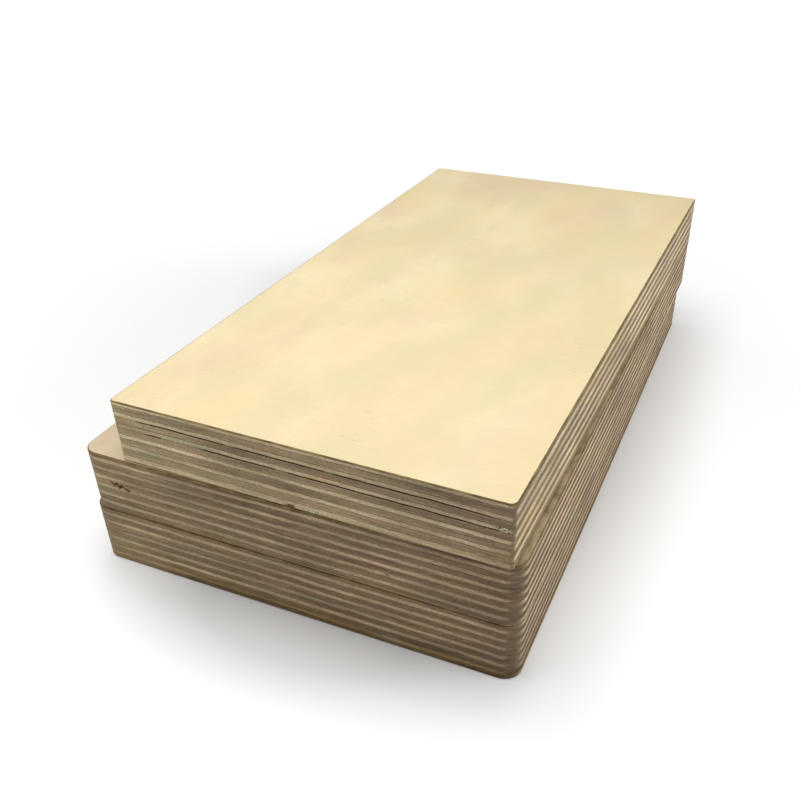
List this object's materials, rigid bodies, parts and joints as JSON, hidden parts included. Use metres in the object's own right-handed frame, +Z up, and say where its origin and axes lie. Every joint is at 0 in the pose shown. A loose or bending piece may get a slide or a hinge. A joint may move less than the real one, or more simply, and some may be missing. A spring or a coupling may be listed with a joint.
{
  "type": "stack of plywood sheets",
  "caption": "Stack of thick cut plywood sheets lying flat, a little askew, with the veneer layers of each showing on its sawn edges.",
  "frame": {"origin": "the middle of the stack's bounding box in plan, on the floor", "axes": "+Y along the length of the boards, square with the bottom board; +X right along their end; +Z up"},
  "size_m": [0.1214, 0.2082, 0.0525],
  "materials": {
    "face_veneer": "sanded smooth, unsealed",
    "core_veneer": "sawn edge, unsealed",
    "crossband_veneer": "sawn edge, unsealed"
  },
  "bodies": {
    "root": {"bottom_board_back_veneer": "face_veneer", "bottom_board_core_03": "core_veneer", "bottom_board_core_05": "core_veneer", "bottom_board_core_07": "core_veneer", "bottom_board_core_09": "core_veneer", "bottom_board_core_11": "core_veneer", "bottom_board_crossband_02": "crossband_veneer", "bottom_board_crossband_04": "crossband_veneer", "bottom_board_crossband_06": "crossband_veneer", "bottom_board_crossband_08": "crossband_veneer", "bottom_board_crossband_10": "crossband_veneer", "bottom_board_crossband_12": "crossband_veneer", "bottom_board_face_veneer": "face_veneer", "middle_board_back_veneer": "face_veneer", "middle_board_core_03": "core_veneer", "middle_board_core_05": "core_veneer", "middle_board_core_07": "core_veneer", "middle_board_core_09": "core_veneer", "middle_board_core_11": "core_veneer", "middle_board_crossband_02": "crossband_veneer", "middle_board_crossband_04": "crossband_veneer", "middle_board_crossband_06": "crossband_veneer", "middle_board_crossband_08": "crossband_veneer", "middle_board_crossband_10": "crossband_veneer", "middle_board_crossband_12": "crossband_veneer", "middle_board_face_veneer": "face_veneer", "top_board_back_veneer": "face_veneer", "top_board_core_03": "core_veneer", "top_board_core_05": "core_veneer", "top_board_core_07": "core_veneer", "top_board_core_09": "core_veneer", "top_board_crossband_02": "crossband_veneer", "top_board_crossband_04": "crossband_veneer", "top_board_crossband_06": "crossband_veneer", "top_board_crossband_08": "crossband_veneer", "top_board_crossband_10": "crossband_veneer", "top_board_face_veneer": "face_veneer"}
  },
  "joints": []
}
